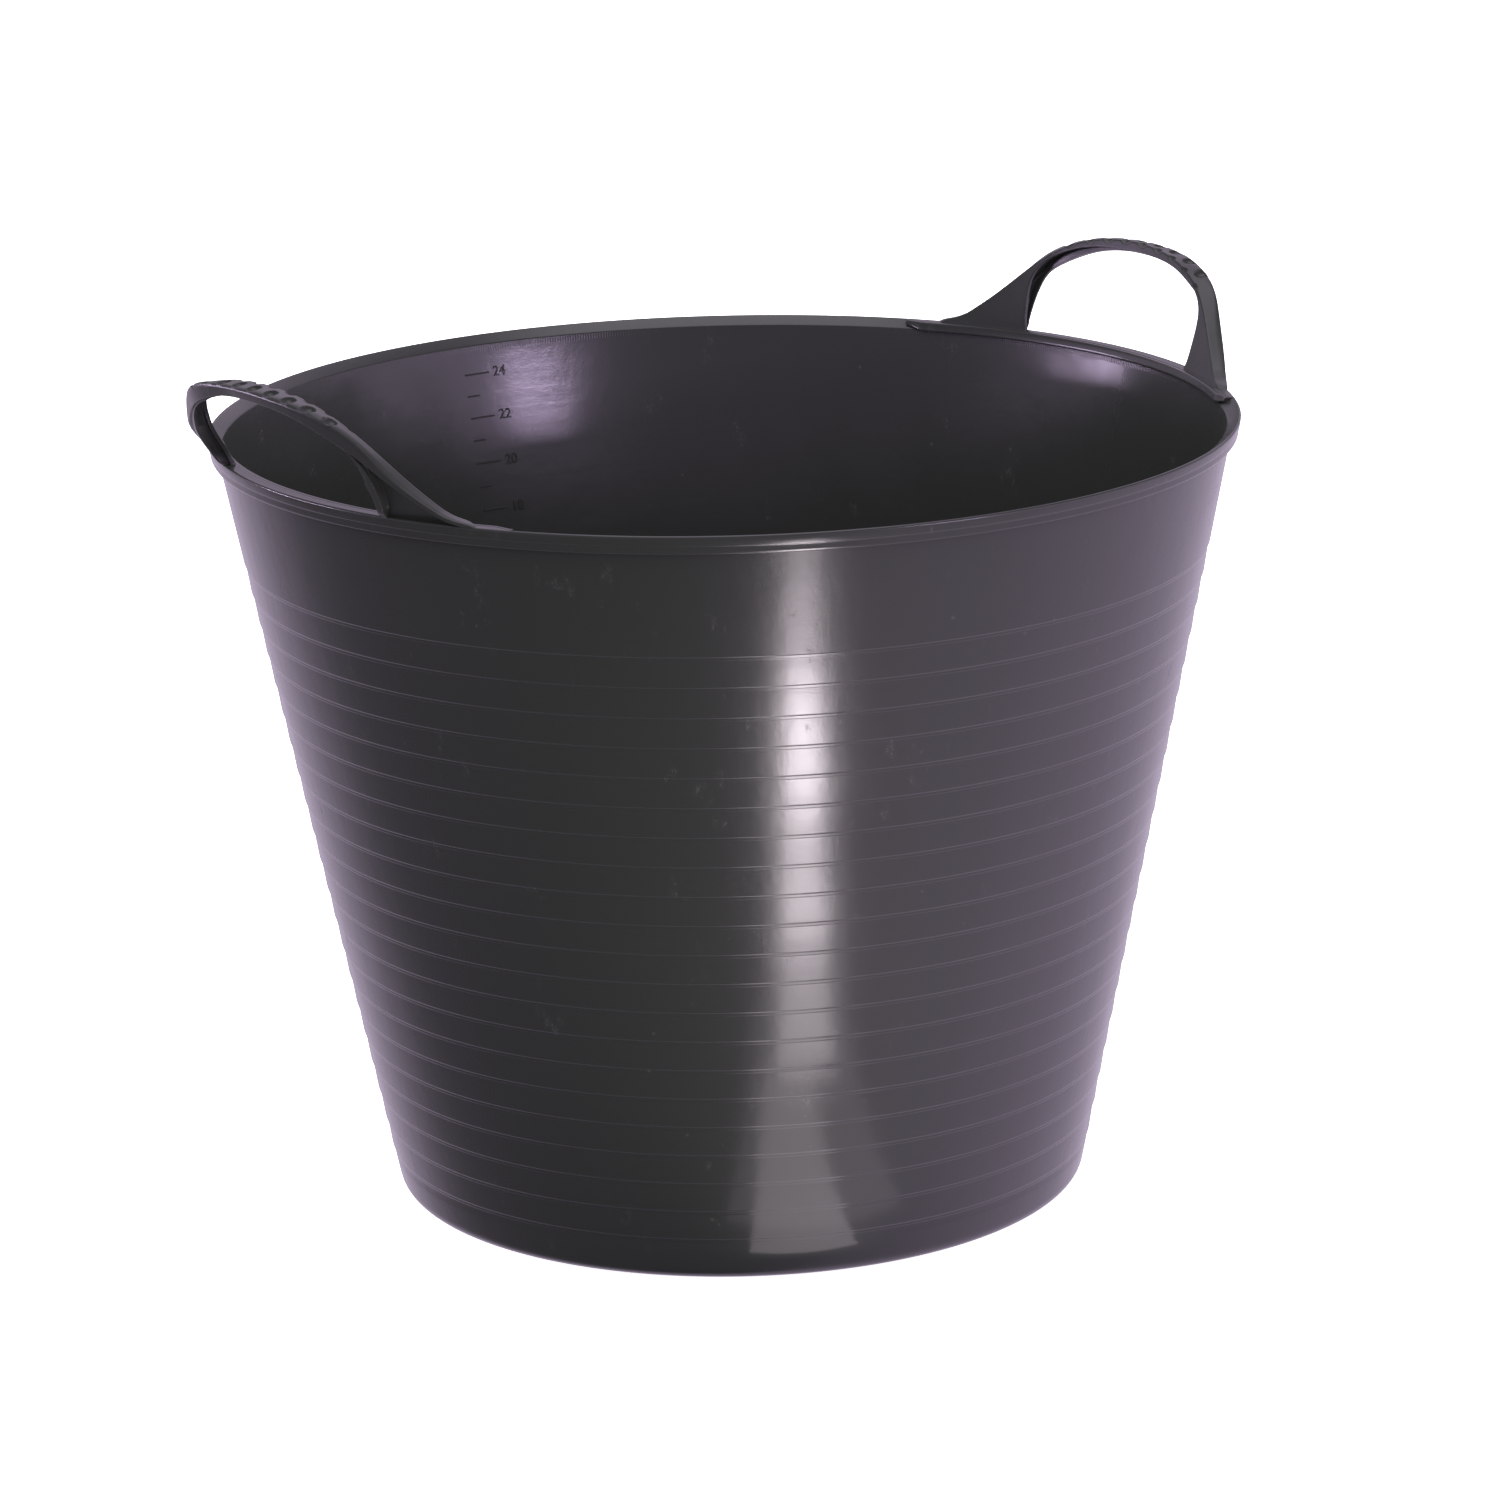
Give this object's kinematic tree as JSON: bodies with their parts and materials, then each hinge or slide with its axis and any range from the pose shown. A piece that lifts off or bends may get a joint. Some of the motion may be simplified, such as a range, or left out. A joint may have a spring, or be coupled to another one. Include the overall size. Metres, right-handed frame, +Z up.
{
  "type": "mortar mixing tub",
  "caption": "Round, tapered, flexible mortar mixing tub with ringed outer wall, flared lip, raised litre scale inside and two spring-back loop handles.",
  "frame": {"origin": "centre of the base, on the surface the tub stands on", "axes": "+Z up along the tub's axis; +X through the middle of the right handle, -X through the middle of the left one; +Y towards the litre scale"},
  "size_m": [0.4306, 0.4, 0.3488],
  "materials": {
    "black_plastic": "satin, flexible polyethylene, lightly scuffed",
    "scale_plastic": "satin, raised moulded marks"
  },
  "bodies": {
    "tub": {"floor": "black_plastic", "lower_corner": "black_plastic", "ringed_wall": "black_plastic", "plain_band": "black_plastic", "rim_lip": "black_plastic", "right_handle_seat": "black_plastic", "left_handle_seat": "black_plastic", "litre_scale_lines": "scale_plastic", "litre_scale_numbers": "scale_plastic", "right_handle_front_foot": "black_plastic", "right_handle_rear_foot": "black_plastic", "left_handle_front_foot": "black_plastic", "left_handle_rear_foot": "black_plastic"},
    "right_handle": {"right_handle_grip": "black_plastic"},
    "left_handle": {"left_handle_grip": "black_plastic"}
  },
  "joints": [
    {"name": "right_handle_bend", "type": "hinge", "parent": "tub", "child": "right_handle", "pos_m": [0.1925, 0, 0.3174], "axis": [0, -1, 0], "range_deg": [-20, 50], "stiffness_Nm_per_rad": 1.5, "deforming": ["right_handle_front_foot", "right_handle_rear_foot"]},
    {"name": "left_handle_bend", "type": "hinge", "parent": "tub", "child": "left_handle", "pos_m": [-0.1925, 0, 0.3174], "axis": [0, 1, 0], "range_deg": [-20, 50], "stiffness_Nm_per_rad": 1.5, "deforming": ["left_handle_front_foot", "left_handle_rear_foot"]}
  ]
}
